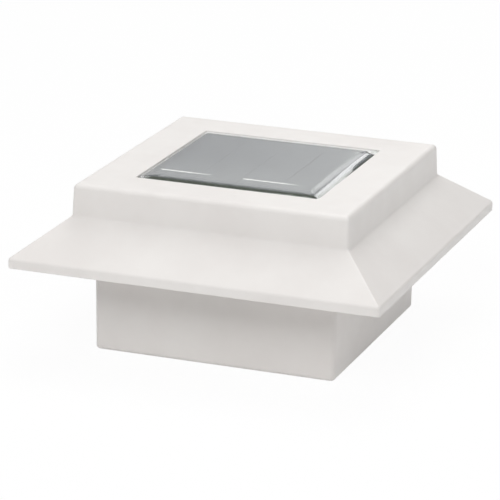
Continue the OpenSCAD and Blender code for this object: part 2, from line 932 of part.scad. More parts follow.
// A lamp's frosted lens: a hollow dish that hangs in the soffit by its lip
module lens() {
    dish = [lens_half.x - lens_rim, lens_half.y - lens_rim];
    color(lens_frost)
    difference() {
        union() {
            translate([0, 0, soffit_z])
                slab(lens_half.x, lens_half.y, soffit_thickness + lens_lip, lens_corner);
            translate([0, 0, soffit_top])
                slab(lens_half.x + lens_lip, lens_half.y + lens_lip, lens_lip, lens_corner + lens_lip);
        }
        translate([0, 0, soffit_z + lens_skin])
            slab(dish.x, dish.y, soffit_thickness + lens_lip, lens_corner / 2);
    }
}

// A lamp's board, staked on its two posts
module lamp_board() {
    color(shell_white)
    translate([0, 0, lamp_z])
        difference() {
            slab(lamp_board_half.x, lamp_board_half.y, lamp_board_thickness, lens_corner);
            at_ends(lamp_post_at)
                translate([0, 0, -past])
                    cylinder(h = lamp_board_thickness + 2 * past, r = stake_radius + hole_fit);
        }
}

// A lamp's chip, shining down
module lamp_chip() {
    color([0.95, 0.8, 0.3])
    translate([-chip_length / 2, -chip_width / 2, lamp_z - chip_height])
        cube([chip_length, chip_width, chip_height]);
}

// The inverted tray: battery bay, lid bosses, standoffs, ribs and the switch's slot
module electronics_tray() {
    slot_half = [knob_width / 2 + switch_travel / 2 + slot_margin, knob_width / 2 + slot_margin];
    guard_half = [slot_half.x + guard_wall, slot_half.y + guard_wall];
    color(shell_white)
    difference() {
        union() {
            translate([0, 0, ledge_z])
                slab(tray_half, tray_half, tray_height, socket_corner);
            translate([0, bay_offset, ceiling_z])
                slab(
                    bay_half.x + tray_wall,
                    bay_half.y + tray_wall,
                    bay_roof - ceiling_z,
                    bay_corner + tray_wall
                );
            translate([0, bay_offset, ceiling_z])
                at_ends(lid_screw_at)
                    cylinder(h = lid_boss_height, r = lid_boss_radius);
            translate([0, -board_offset, ceiling_z])
                at_ends(board_screw_at)
                    cylinder(h = board_z - ceiling_z, r = standoff_radius);
            at_ends(tray_rib_spacing / 2)
                translate([-tray_rib_thickness / 2, bay_offset, ceiling_z])
                    cube([
                        tray_rib_thickness,
                        tray_half - tray_wall - bay_offset,
                        tray_wall + tray_rib_height
                    ]);
        }
        difference() {
            translate([0, 0, ledge_z - past])
                slab(
                    tray_half - tray_wall,
                    tray_half - tray_wall,
                    tray_height - tray_wall + past,
                    socket_corner
                );
            translate([0, switch_y, ceiling_z - guard_height])
                slab(guard_half.x, guard_half.y, tray_height, guard_wall);
        }
        translate([0, bay_offset, ceiling_z - past])
            slab(bay_half.x, bay_half.y, bay_top - ceiling_z + past, bay_corner);
        translate([0, bay_offset, bay_top - past])
            at_ends(bay_half.x - contact_thickness / 2)
                translate([-contact_thickness / 2 - tab_fit, -tab_width / 2 - tab_fit, 0])
                    cube([contact_thickness + 2 * tab_fit, tab_width + 2 * tab_fit, 3 * past + tray_wall]);
        translate([0, bay_offset, ceiling_z - past])
            at_ends(lid_screw_at)
                cylinder(h = lid_boss_height - past / 2, r = screw_radius + thread_fit);
        translate([0, -board_offset, board_z - board_screw_length])
            at_ends(board_screw_at)
                cylinder(h = board_screw_length + past, r = small_screw_radius + thread_fit);
        translate([0, switch_y, ceiling_z - guard_height - past])
            slab(slot_half.x, slot_half.y, tray_height, slot_margin);
        at_corners(tray_boss_at)
            translate([0, 0, ceiling_z - past])
                cylinder(h = tray_wall + 2 * past, r = screw_radius + tray_screw_fit);
    }
}

// Four screws down through the tray into the ledge's bosses
module tray_screws() {
    color(steel)
    at_corners(tray_boss_at)
        translate([0, 0, tray_top])
            mirror([0, 0, 1])
                screw(screw_radius, tray_screw_length, head_radius, head_height);
}

// The charging board
module circuit_board() {
    color(board_green)
    translate([0, -board_offset, board_z])
        difference() {
            slab(board_half.x, board_half.y, board_thickness, 1);
            translate([0, 0, -past])
                at_ends(board_screw_at)
                    cylinder(h = board_thickness + 2 * past, r = small_screw_radius + hole_fit);
            for (i = [-1 : 1])
                translate([i * pin_pitch, -switch_offset, -past])
                    cylinder(h = board_thickness + 2 * past, r = pin_radius + thread_fit);
        }
}

// Two screws that hold the charging board
module board_screws() {
    color(steel)
    translate([0, -board_offset, board_top])
        at_ends(board_screw_at)
            mirror([0, 0, 1])
                screw(small_screw_radius, board_screw_length, small_head_radius, small_head_height);
}

// Places its child on the charging board
module on_board(place) {
    translate([place.x, place.y - board_offset, board_top])
        children();
}

// The charge and lamp driver: a flat chip that stands on four legs
module driver_chip() {
    body = [5.2, 1.8, 3.6];
    legs = 4;
    leg = 0.4;
    leg_pitch = 1.27;
    leg_length = 2;
    color(moulding_black)
    on_board(chip_at) {
        translate([-body.x / 2, -body.y / 2, leg_length])
            cube(body);
        for (i = [0 : legs - 1])
            translate([(i - (legs - 1) / 2) * leg_pitch - leg / 2, -leg / 2, 0])
                cube([leg, leg, leg_length + leg]);
    }
}

// The boost coil: a winding between the two flanges of its core
module inductor() {
    flange = [3.2, 0.9];
    winding = [2.8, 4.4];
    color(moulding_black)
    on_board(inductor_at) {
        for (z = [0, flange[1] + winding[1]])
            translate([0, 0, z])
                cylinder(h = flange[1], r = flange[0]);
        cylinder(h = flange[1] + winding[1], r = winding[0]);
    }
}

// The smoothing capacitor: a can with a rolled groove above its foot
module capacitor() {
    can = [2.5, 7.2];
    groove = 0.35;
    groove_z = 1.3;
    color(moulding_black)
    on_board(capacitor_at)
        difference() {
            cylinder(h = can[1], r = can[0]);
            rotate_extrude()
                translate([can[0], groove_z])
                    circle(groove);
        }
}

// The slide switch's case, open below where the knob slides
module switch_case() {
    inside = [knob_foot.x + switch_travel + 2 * knob_play, knob_foot.y + 2 * knob_play];
    slot = [knob_width + switch_travel + 2 * knob_play, knob_width + 2 * knob_play];
    inside_height = knob_foot.z + 2 * knob_play;
    color(steel)
    translate([0, switch_y, switch_z])
        difference() {
            translate([-switch_length / 2, -switch_width / 2, 0])
                cube([switch_length, switch_width, switch_height]);
            translate([-inside.x / 2, -inside.y / 2, switch_wall])
                cube([inside.x, inside.y, inside_height]);
            translate([-slot.x / 2, -slot.y / 2, -past])
                cube([slot.x, slot.y, past + 2 * switch_wall]);
        }
}

// The switch's three pins, soldered through the board
module switch_pins() {
    color(tin)
    for (i = [-1 : 1])
        translate([i * pin_pitch, switch_y, board_z])
            cylinder(h = board_thickness + pin_rise, r = pin_radius);
}

// The switch's knob in its off position: a foot inside the case and a stem through the tray
module switch_knob() {
    foot_z = switch_z + switch_wall + knob_play;
    color(moulding_black)
    translate([-switch_travel / 2, switch_y, 0]) {
        translate([-knob_foot.x / 2, -knob_foot.y / 2, foot_z])
            cube(knob_foot);
        translate([-knob_width / 2, -knob_width / 2, knob_low])
            cube([knob_width, knob_width, foot_z - knob_low + past / 2]);
    }
}

// Lays its child, which stands along Z, along the battery's axis
module along_cell(start) {
    translate([start, bay_offset, cell_z])
        rotate([0, 90, 0])
            children();
}

// The cell's steel can, with the shoulder under its button
module battery_can() {
    shoulder = 1.2;
    can_radius = cell_radius - sleeve_thickness;
    can_length = cell_end - cell_start;
    color(steel)
    along_cell(cell_start) {
        cylinder(h = can_length - shoulder, r = can_radius);
        translate([0, 0, can_length - shoulder])
            cylinder(h = shoulder, r1 = can_radius, r2 = can_radius - shoulder);
    }
}

// The cell's plain sleeve
module battery_sleeve() {
    sleeve_margin = 1.4;
    color([0.12, 0.42, 0.25])
    along_cell(cell_start + sleeve_margin / 4)
        difference() {
            cylinder(h = cell_end - cell_start - sleeve_margin, r = cell_radius);
            translate([0, 0, -past])
                cylinder(h = cell_length + 2 * past, r = cell_radius - sleeve_thickness);
        }
}

// The cell's positive button
module battery_button() {
    color(steel)
    along_cell(cell_end)
        cylinder(h = button_length, r = button_radius);
}

// A contact plate against the bay's end at the right, with its solder tab through the bay's roof
module end_plate() {
    plate_low = ceiling_z + past;
    translate([bay_half.x - contact_thickness, bay_offset, 0]) {
        translate([0, -contact_width / 2, plate_low])
            cube([contact_thickness, contact_width, bay_top - plate_low]);
        translate([0, -tab_width / 2, plate_low])
            cube([contact_thickness, tab_width, bay_roof + tab_rise - plate_low]);
    }
}

// The plate behind the contact spring
module spring_plate() {
    color(tin)
    mirror([1, 0, 0])
        end_plate();
}

// The plate that meets the cell's button with its dimple
module contact_plate() {
    dimple_radius = 1.6;
    color(tin) {
        end_plate();
        along_cell(bay_half.x - contact_thickness - dimple_height)
            cylinder(h = dimple_height + contact_thickness / 2, r1 = dimple_radius / 2, r2 = dimple_radius);
    }
}

// The tapered spring behind the cell
module contact_spring() {
    steps = 12;
    last = steps * spring_turns;
    reach = spring_length - 2 * spring_wire;
    path = [
        for (i = [0 : last]) let (radius = spring_wide + (spring_narrow - spring_wide) * i / last)
            [radius * cos(360 * i / steps), radius * sin(360 * i / steps), spring_wire + reach * i / last]
    ];
    color(tin)
    along_cell(-bay_half.x + contact_thickness)
        tube(path, spring_wire, wire_sides, [0, 0, 1]);
}

// The lid over the battery bay: plate, rim, sunk screw pads and cradle ribs
module battery_lid() {
    plate_top = lid_z + lid_plate;
    color(shell_white)
    translate([0, bay_offset, 0])
        difference() {
            union() {
                translate([0, 0, lid_z])
                    slab(lid_half.x, lid_half.y, lid_plate, lid_corner);
                translate([0, 0, lid_z])
                    frame(
                        lid_half,
                        [lid_half.x - lid_rim, lid_half.y - lid_rim],
                        lid_rim_z - lid_z,
                        lid_corner,
                        lid_corner - lid_rim / 2
                    );
                translate([0, 0, lid_z])
                    at_ends(lid_screw_at)
                        cylinder(h = lid_rim_z - lid_z, r = lid_pad_radius);
                at_ends(cradle_spacing / 2)
                    translate([-cradle_thickness / 2, -cradle_width / 2, plate_top - past / 2])
                        cube([cradle_thickness, cradle_width, cradle_top - plate_top + past / 2]);
            }
            at_ends(lid_screw_at) {
                translate([0, 0, lid_z - past])
                    cylinder(h = head_height + past, r = head_radius + head_fit);
                translate([0, 0, lid_z])
                    cylinder(h = past + ceiling_z - lid_z, r = screw_radius + hole_fit);
            }
        }
}

// The lid's rubber seal, round the bay's mouth
module lid_seal() {
    inner = [bay_half.x + seal_margin, bay_half.y + seal_margin];
    color(seal_grey)
    translate([0, bay_offset, seat_for_seal])
        frame(
            [inner.x + seal_width, inner.y + seal_width],
            inner,
            seal_thickness,
            bay_corner + seal_width,
            bay_corner
        );
}

// The lid's two captive screws
module lid_screws() {
    color(steel)
    translate([0, bay_offset, lid_z + head_height])
        at_ends(lid_screw_at)
            screw(screw_radius, lid_screw_length, head_radius, head_height);
}

// An insulated wire along its route
module wire(route, tint) {
    color(tint)
        tube(smooth(route, wire_steps), wire_radius, wire_sides, [0, 1, 0]);
}

cap_shell();
post_collar();
housing_screws();
panel_sealant();
panel_board();
solar_cells();
cell_ribbons();
panel_resin();
under_eave(side_turns[0]) lens();  // lens_front
under_eave(side_turns[1]) lens();  // lens_right
under_eave(side_turns[2]) lens();  // lens_back
under_eave(side_turns[3]) lens();  // lens_left
under_eave(side_turns[0]) lamp_board();  // lamp_board_front
under_eave(side_turns[1]) lamp_board();  // lamp_board_right
under_eave(side_turns[2]) lamp_board();  // lamp_board_back
under_eave(side_turns[3]) lamp_board();  // lamp_board_left
under_eave(side_turns[0]) lamp_chip();  // lamp_chip_front
under_eave(side_turns[1]) lamp_chip();  // lamp_chip_right
under_eave(side_turns[2]) lamp_chip();  // lamp_chip_back
under_eave(side_turns[3]) lamp_chip();  // lamp_chip_left
electronics_tray();
tray_screws();
circuit_board();
board_screws();
driver_chip();
inductor();
capacitor();
switch_case();
switch_pins();
switch_knob();
battery_can();
battery_sleeve();
battery_button();
spring_plate();
contact_spring();
contact_plate();
battery_lid();
lid_seal();
lid_screws();
wire(solar_red_route, wire_red);  // solar_wire_red
wire(solar_black_route, wire_black);  // solar_wire_black
wire(battery_red_route, wire_red);  // battery_wire_red
wire(battery_black_route, wire_black);  // battery_wire_black
wire(front_red_route, wire_red);  // lamp_wire_front_red
wire(front_black_route, wire_black);  // lamp_wire_front_black
wire(right_red_route, wire_red);  // lamp_wire_right_red
wire(right_black_route, wire_black);  // lamp_wire_right_black
wire(back_red_route, wire_red);  // lamp_wire_back_red
wire(back_black_route, wire_black);  // lamp_wire_back_black
wire(mirrored(right_red_route), wire_red);  // lamp_wire_left_red
wire(mirrored(right_black_route), wire_black);  // lamp_wire_left_black
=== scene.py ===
import json
import math
import random

import bmesh
import bpy
from mathutils import Matrix, Vector


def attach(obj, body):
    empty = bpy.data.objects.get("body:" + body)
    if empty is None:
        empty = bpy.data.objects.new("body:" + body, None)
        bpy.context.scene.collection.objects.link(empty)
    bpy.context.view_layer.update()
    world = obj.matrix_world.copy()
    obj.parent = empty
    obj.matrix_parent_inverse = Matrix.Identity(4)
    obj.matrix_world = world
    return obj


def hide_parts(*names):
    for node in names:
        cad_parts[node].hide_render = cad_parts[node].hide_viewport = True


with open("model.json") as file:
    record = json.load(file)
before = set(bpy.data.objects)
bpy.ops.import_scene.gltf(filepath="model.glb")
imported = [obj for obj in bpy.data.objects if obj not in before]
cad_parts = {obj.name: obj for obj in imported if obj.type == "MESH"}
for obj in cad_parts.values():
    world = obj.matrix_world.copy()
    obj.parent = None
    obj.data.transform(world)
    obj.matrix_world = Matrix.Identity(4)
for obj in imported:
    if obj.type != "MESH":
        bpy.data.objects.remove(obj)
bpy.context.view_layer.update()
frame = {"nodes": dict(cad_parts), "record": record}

NODES = frame["nodes"]

# Shapes are drawn in millimetres. The scene is in metres.
MM = 0.001


def node_box(name):
    """Lowest and highest corner of a CAD node, in millimetres."""
    points = [vertex.co / MM for vertex in NODES[name].data.vertices]
    return [[round(pick(point[k] for point in points), 3) for k in range(3)] for pick in (min, max)]


CAP_LOW, CAP_HIGH = node_box("cap_shell")
EAVE, EAVE_Z, TOP_Z = CAP_HIGH[0], CAP_LOW[2], CAP_HIGH[2]

# ------------------------------------------------------------------ camera

# The viewpoint that fits the photograph, as seen from the middle of the eave's bottom plane: its
# azimuth, elevation and roll in degrees, and its place in metres.
CAMERA_ANGLES = (20.289, 17.516, 0.909)
CAMERA_DISTANCE, CAMERA_ASIDE, CAMERA_UP = 1.3028, -0.00387, -0.0052
# The picture's width and the focal length in pixels, and the film's width in millimetres.
PHOTO_WIDTH, FOCAL_LENGTH = 500, 2979.3
FILM_WIDTH = 36


def add_camera():
    """The photograph's viewpoint, turned by its azimuth, elevation and roll."""
    azimuth, elevation, roll = (math.radians(angle) for angle in CAMERA_ANGLES)
    back = Vector((
        math.sin(azimuth) * math.cos(elevation),
        -math.cos(azimuth) * math.cos(elevation),
        math.sin(elevation),
    ))
    right = Vector((0, 0, 1)).cross(back).normalized()
    up = back.cross(right)
    across = right * math.cos(roll) + up * math.sin(roll)
    above = -right * math.sin(roll) + up * math.cos(roll)
    place = Vector((0, 0, EAVE_Z * MM)) + back * CAMERA_DISTANCE + across * CAMERA_ASIDE + above * CAMERA_UP
    data = bpy.data.cameras.new("camera")
    data.sensor_width = FILM_WIDTH
    data.lens = FOCAL_LENGTH * FILM_WIDTH / PHOTO_WIDTH
    data.clip_start, data.clip_end = 0.01, 50
    camera = bpy.data.objects.new("camera", data)
    turn = Matrix((across, above, back)).transposed().to_4x4()
    camera.matrix_world = Matrix.Translation(place) @ turn
    bpy.context.collection.objects.link(camera)
    bpy.context.scene.camera = camera


# ------------------------------------------------------------------ materials


class Shader:
    """A principled material that is built up from texture nodes."""

    def __init__(self, name):
        self.material = bpy.data.materials.new(name)
        self.material.use_nodes = True
        self.tree = self.material.node_tree
        self.bsdf = self.tree.nodes["Principled BSDF"]
        self.place = self.node("ShaderNodeTexCoord").outputs["Object"]

    def node(self, kind, **inputs):
        made = self.tree.nodes.new(kind)
        for key, value in inputs.items():
            self.feed(made.inputs[key.replace("_", " ")], value)
        return made

    def feed(self, socket, value):
        if isinstance(value, bpy.types.NodeSocket):
            self.tree.links.new(value, socket)
        else:
            socket.default_value = value

    def set(self, **inputs):
        for key, value in inputs.items():
            self.feed(self.bsdf.inputs[key.replace("_", " ")], value)
        return self

    def noise(self, scale, detail=2.0, roughness=0.5, stretch=(1, 1, 1)):
        mapping = self.node("ShaderNodeMapping", Vector=self.place, Scale=stretch)
        made = self.node(
            "ShaderNodeTexNoise", Vector=mapping.outputs[0], Scale=scale, Detail=detail, Roughness=roughness
        )
        return made.outputs["Fac"]

    def blotches(self, scale, detail=3.0, low=0.4, high=0.7, most=1.0):
        """Noise that is 0 up to the low level and reaches its most at the high one."""
        return self.spread(self.noise(scale, detail), low, high, 0.0, most)

    def grains(self, scale):
        made = self.node("ShaderNodeTexVoronoi", Vector=self.place, Scale=scale)
        return made.outputs["Color"], made.outputs["Distance"]

    def spread(self, value, low, high, to_low, to_high):
        made = self.node(
            "ShaderNodeMapRange", Value=value, From_Min=low, From_Max=high, To_Min=to_low, To_Max=to_high
        )
        return made.outputs[0]

    def mix(self, factor, first, second):
        made = self.tree.nodes.new("ShaderNodeMix")
        made.data_type = "RGBA"
        self.feed(made.inputs["Factor"], factor)
        self.feed(made.inputs[6], first)
        self.feed(made.inputs[7], second)
        return made.outputs[2]

    def math(self, operation, first, second=0.0):
        made = self.tree.nodes.new("ShaderNodeMath")
        made.operation = operation
        self.feed(made.inputs[0], first)
        self.feed(made.inputs[1], second)
        return made.outputs[0]

    def axis(self, name):
        return self.node("ShaderNodeSeparateXYZ", Vector=self.place).outputs[name]

    def bump(self, *layers):
        """Layers are pairs of a height and its depth in metres."""
        normal = None
        for height, depth in layers:
            made = self.node("ShaderNodeBump", Strength=1.0, Distance=depth, Height=height)
            if normal is not None:
                self.feed(made.inputs["Normal"], normal)
            normal = made.outputs[0]
        self.set(Normal=normal)
        return self


def grey(value):
    return (value, value, value, 1.0)


def rgb(r, g, b):
    """A colour given as 0 to 255 screen values."""
    shares = (v / 255 for v in (r, g, b))
    return tuple(v / 12.92 if v <= 0.04045 else ((v + 0.055) / 1.055) ** 2.4 for v in shares) + (1.0,)


def vinyl(name, tint, shade, roughness=0.42):
    """Moulded white plastic: a fine eggshell grain, faint flow marks and soft clouds in its tone."""
    s = Shader(name)
    clouds = s.noise(22.0, 4.0, 0.6)
    flow = s.noise(9.0, 3.0, 0.55, (1.0, 1.0, 6.0))
    colour = s.mix(s.spread(clouds, 0.35, 0.68, 0.0, 1.0), tint, shade)
    colour = s.mix(s.spread(flow, 0.5, 0.8, 0.0, 0.35), colour, shade)
    s.set(
        Base_Color=colour,
        Roughness=s.spread(s.noise(160.0, 3.0), 0.3, 0.7, roughness - 0.05, roughness + 0.07),
        Specular_IOR_Level=0.42,
        IOR=1.49,
    )
    return s.bump((s.noise(1900.0, 2.0, 0.6), 0.000022), (s.noise(75.0, 2.0), 0.00006)).material


def metal(name, tint, roughness, stretch):
    """Plated or brushed metal with fine scratches and a slight tarnish."""
    s = Shader(name)
    marks = s.noise(900.0, 3.0, 0.6, stretch)
    tarnish = s.noise(140.0, 4.0, 0.6)
    dark = tuple(v * 0.72 for v in tint[:3]) + (1.0,)
    s.set(
        Base_Color=s.mix(s.spread(tarnish, 0.45, 0.75, 0.0, 0.8), tint, dark),
        Metallic=1.0,
        Roughness=s.spread(marks, 0.3, 0.7, roughness - 0.06, roughness + 0.1),
    )
    return s.bump((marks, 0.000012)).material


def moulding(name, tint, roughness, grain=1400.0):
    """Coloured plastic or rubber with a fine grain."""
    s = Shader(name)
    worn = tuple(min(1.0, v * 1.5 + 0.012) for v in tint[:3]) + (1.0,)
    s.set(
        Base_Color=s.mix(s.spread(s.noise(180.0, 4.0, 0.6), 0.4, 0.75, 0.0, 0.6), tint, worn),
        Roughness=s.spread(s.noise(500.0, 2.0), 0.3, 0.7, roughness - 0.07, roughness + 0.08),
        Specular_IOR_Level=0.45,
    )
    return s.bump((s.noise(grain, 2.0), 0.00002)).material


def laminate(name, mask, bare, roughness=0.34):
    """Circuit board: solder mask over a weave, with copper tracks showing faintly under it."""
    s = Shader(name)
    threads = [s.math("SINE", s.math("MULTIPLY", s.axis(name), 9000.0)) for name in "XY"]
    weave = s.math("MULTIPLY", *threads)
    tracks = s.node(
        "ShaderNodeTexBrick", Vector=s.place, Scale=140.0, Mortar_Size=0.06,
        Color1=grey(0.0), Color2=grey(0.0), Mortar=grey(1.0),
    )
    colour = s.mix(s.spread(tracks.outputs["Color"], 0.0, 1.0, 0.0, 0.32), mask, bare)
    s.set(
        Base_Color=s.mix(s.blotches(60.0, most=0.2), colour, bare),
        Roughness=roughness,
        Specular_IOR_Level=0.5,
        Coat_Weight=0.25,
        Coat_Roughness=0.12,
    )
    return s.bump((tracks.outputs["Color"], 0.00003), (weave, 0.000008)).material


def edge_shade_mask(s):
    """1 over the cells and 0 over the band of painted shade at their front and right edges, which is wider
    in front.
    """
    # Painted shade: the mask darkens the front and right edges, where the resin's edge looks dark.
    front = s.spread(s.axis("Y"), -0.0341, -0.0325, 0.0, 1.0)
    right = s.spread(s.axis("X"), 0.0372, 0.0380, 1.0, 0.0)
    return s.math("MULTIPLY", front, right)


def cell_tone_and_sheen(s):
    """The cells' grey with a painted reflection in it: it grows lighter from left to right and towards the
    front.
    """
    # Painted reflection: a gradient stands in for the resin's reflections across the window.
    across = s.spread(s.axis("X"), -0.036, 0.036, 0.0, 1.0)
    along = s.spread(s.axis("Y"), -0.026, 0.004, 0.35, 0.0)
    tone = s.mix(across, rgb(70, 73, 76), rgb(102, 104, 105))
    return s.mix(along, tone, rgb(112, 114, 113))


def panel_laminate(name):
    """The panel's board: painted shade at its front and right margins, and the cells' tone, with its
    painted sheen, between them.
    """
    s = Shader(name)
    inside = edge_shade_mask(s)
    # Painted shade: the board's front and right margins are dark for the shade at the resin's edges.
    painted_margin_shade = s.mix(s.blotches(60.0), rgb(52, 57, 50), rgb(66, 71, 63))
    s.set(Base_Color=s.mix(inside, painted_margin_shade, cell_tone_and_sheen(s)), Roughness=0.5, Specular_IOR_Level=0.3)
    return s.bump((s.noise(900.0, 2.0), 0.00002)).material


def silicon(name):
    """Solar cell: grey-blue silicon crystals under a coat, with a comb of fine fingers."""
    s = Shader(name)
    crystals, edge = s.grains(330.0)
    tone = s.spread(crystals, 0.0, 1.0, 0.0, 1.0)
    # The cells' grey carries a painted reflection, lighter to the right and the front.
    colour = s.mix(s.math("MULTIPLY", tone, 0.12), cell_tone_and_sheen(s), rgb(150, 154, 158))
    colour = s.mix(s.blotches(14.0, 2.0, 0.35, 0.65, 0.12), colour, rgb(70, 74, 78))
    pitch, share = 1.9 * MM, 0.07
    finger = s.math("FRACT", s.math("MULTIPLY", s.axis("Y"), 1 / pitch))
    line = s.math("LESS_THAN", finger, share)
    colour = s.mix(s.math("MULTIPLY", line, 0.3), colour, rgb(150, 152, 154))
    # Painted shade: the cells turn dark at their front and right edges.
    colour = s.mix(edge_shade_mask(s), rgb(58, 63, 55), colour)
    s.set(Base_Color=colour, Roughness=0.45, Specular_IOR_Level=0.3)
    return s.bump((line, 0.00001), (edge, 0.000006)).material


def poured_resin(name):
    """Clear resin, poured flush: glossy, with the faintest waves."""
    s = Shader(name)
    s.set(
        Base_Color=(0.965, 0.975, 0.972, 1.0),
        Transmission_Weight=1.0,
        IOR=1.5,
        Roughness=s.spread(s.noise(120.0, 2.0), 0.3, 0.7, 0.08, 0.12),
    )
    return s.bump((s.noise(45.0, 2.0), 0.00005)).material


def pour_wall(name):
    """The white wall behind the resin, seen through it, with painted shade towards the front beside the
    cells' painted shade.
    """
    s = Shader(name)
    white = s.mix(s.blotches(300.0), rgb(250, 249, 247), rgb(242, 241, 238))
    # Painted shade: the wall turns dark towards the front.
    front_shade = s.spread(s.axis("Y"), -0.0385, -0.034, 1.0, 0.0)
    s.set(Base_Color=s.mix(front_shade, white, rgb(72, 76, 70)), Roughness=0.6)
    return s.bump((s.noise(900.0, 2.0), 0.00002)).material


def ribbon_metal(name):
    """Tinned ribbon: pale and matt, with drawing marks along it, and painted shade where its glint fades
    towards each one's right end.
    """
    s = Shader(name)
    marks = s.spread(s.noise(700.0, 3.0, 0.6, (1, 6, 1)), 0.4, 0.7, 0.0, 1.0)
    tin = s.mix(marks, rgb(234, 234, 232), rgb(218, 218, 216))
    x = s.axis("X")
    # Painted shade: each ribbon turns grey towards its right end, where its glint fades.
    left_glint_fade = s.math("MULTIPLY", s.math("LESS_THAN", x, 0.0), s.spread(x, -0.024, -0.0141, 0.0, 0.75))
    right_glint_fade = s.spread(x, 0.0185, 0.0253, 0.0, 0.75)
    colour = s.mix(s.math("MAXIMUM", left_glint_fade, right_glint_fade), tin, rgb(116, 118, 118))
    s.set(Base_Color=colour, Metallic=0.15, Roughness=0.42)
    return s.bump((s.noise(900.0, 2.0), 0.00001)).material


def frosted(name):
    """Frosted lens: a translucent milky skin."""
    s = Shader(name)
    s.set(
        Base_Color=s.mix(s.blotches(90.0), rgb(236, 236, 228), rgb(226, 226, 216)),
        Roughness=s.spread(s.noise(700.0, 2.0), 0.3, 0.7, 0.48, 0.6),
        Subsurface_Weight=0.35,
        Subsurface_Radius=(0.0012, 0.0012, 0.001),
        Transmission_Weight=0.25,
        IOR=1.49,
    )
    return s.bump((s.noise(1600.0, 2.0), 0.00004)).material


def phosphor(name):
    """Lamp chip: yellow phosphor under a thin clear coat."""
    s = Shader(name)
    s.set(
        Base_Color=s.mix(s.blotches(800.0, 3.0, 0.35, 0.65), rgb(246, 206, 88), rgb(232, 184, 60)),
        Roughness=0.3,
        Coat_Weight=0.5,
        Coat_Roughness=0.08,
        Subsurface_Weight=0.2,
        Subsurface_Radius=(0.0006, 0.0005, 0.0002),
    )
    return s.bump((s.noise(2500.0, 2.0), 0.00002)).material


def insulation(name, tint):
    """Wire insulation: soft glossy plastic with a slightly uneven tone."""
    s = Shader(name)
    deep = tuple(v * 0.6 for v in tint[:3]) + (1.0,)
    s.set(
        Base_Color=s.mix(s.blotches(260.0, most=0.7), tint, deep),
        Roughness=s.spread(s.noise(900.0, 2.0), 0.3, 0.7, 0.26, 0.4),
        Specular_IOR_Level=0.5,
    )
    return s.bump((s.noise(1200.0, 2.0), 0.000015)).material


def floor_paper(name):
    """Pale studio paper that shows nearly white when it is seen, with a trace of its own shadows."""
    s = Shader(name)
    s.set(Base_Color=s.mix(s.blotches(6.0), grey(0.93), grey(0.95)), Roughness=0.9, Specular_IOR_Level=0.1)
    seen = s.node("ShaderNodeLightPath").outputs
    white = s.node("ShaderNodeEmission", Color=grey(1.0), Strength=1.0)
    direct = s.math("MAXIMUM", seen["Is Camera Ray"], seen["Is Glossy Ray"])
    shown = s.math("MAXIMUM", direct, seen["Is Transmission Ray"])
    both = s.node("ShaderNodeMixShader", Fac=s.math("MULTIPLY", shown, 0.95))
    s.tree.links.new(s.bsdf.outputs[0], both.inputs[1])
    s.tree.links.new(white.outputs[0], both.inputs[2])
    s.tree.links.new(both.outputs[0], s.tree.nodes["Material Output"].inputs["Surface"])
    return s.material


def make_materials():
    return {
        "shell_white": vinyl("shell_white", rgb(237, 234, 231), rgb(231, 227, 224)),
        "screw_steel": metal("screw_steel", rgb(196, 198, 202), 0.3, (1, 1, 6)),
        "sealant": moulding("sealant", rgb(52, 53, 55), 0.42),
        "panel_green": panel_laminate("panel_green"),
        "board_green": laminate("board_green", rgb(26, 88, 54), rgb(96, 132, 74)),
        "solar_cell": silicon("solar_cell"),
        "tin": metal("tin", rgb(226, 228, 230), 0.34, (4, 1, 1)),
        "resin": poured_resin("resin"),
        "pour_wall": pour_wall("pour_wall"),
        "ribbon": ribbon_metal("ribbon"),
        "lens_frost": frosted("lens_frost"),
        "lamp_board": laminate("lamp_board", rgb(236, 236, 232), rgb(206, 204, 192)),
        "lamp_chip": phosphor("lamp_chip"),
        "moulding_black": moulding("moulding_black", rgb(38, 38, 41), 0.45),
        "cell_can": metal("cell_can", rgb(214, 216, 220), 0.2, (1, 5, 5)),
        "cell_sleeve": moulding("cell_sleeve", rgb(38, 122, 78), 0.28, 500.0),
        "seal_rubber": moulding("seal_rubber", rgb(40, 40, 42), 0.62),
        "wire_red": insulation("wire_red", rgb(186, 34, 30)),
        "wire_black": insulation("wire_black", rgb(34, 34, 36)),
        "floor_paper": floor_paper("floor_paper"),
    }


# Nodes that share a record slot with others but have a look of their own.
OWN_LOOK = {"circuit_board": "board_green", "cell_ribbons": "ribbon"}


def dress_nodes(materials):
    """Every carried-over node takes its record slot's material, or its own look."""
    for row in frame["record"]["subparts"]:
        look = OWN_LOOK.get(row["node"], row["material_slot"])
        slots = NODES[row["node"]].data.materials
        slots.clear()
        slots.append(materials[look])


# ------------------------------------------------------------------ mesh helpers


def add_piece(name, mesh, material, node):
    """Links a mesh as a piece that rides on the fixed body and stands for a CAD node."""
    piece = bpy.data.objects.new(name, mesh)
    bpy.context.collection.objects.link(piece)
    mesh.materials.append(material)
    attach(piece, "light")
    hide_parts(node)
    return piece


def finish_mesh(name, bm):
    """Turns a shape that was drawn in millimetres into a smooth mesh in metres."""
    bmesh.ops.recalc_face_normals(bm, faces=bm.faces)
    bmesh.ops.scale(bm, vec=(MM, MM, MM), verts=bm.verts)
    mesh = bpy.data.meshes.new(name)
    bm.to_mesh(mesh)
    bm.free()
    mesh.shade_smooth()
    return mesh


def weigh_normals(piece):
    """Keeps flat faces flat beside their rounded edges."""
    made = piece.modifiers.new("normals", "WEIGHTED_NORMAL")
    made.weight = 100
    made.keep_sharp = True


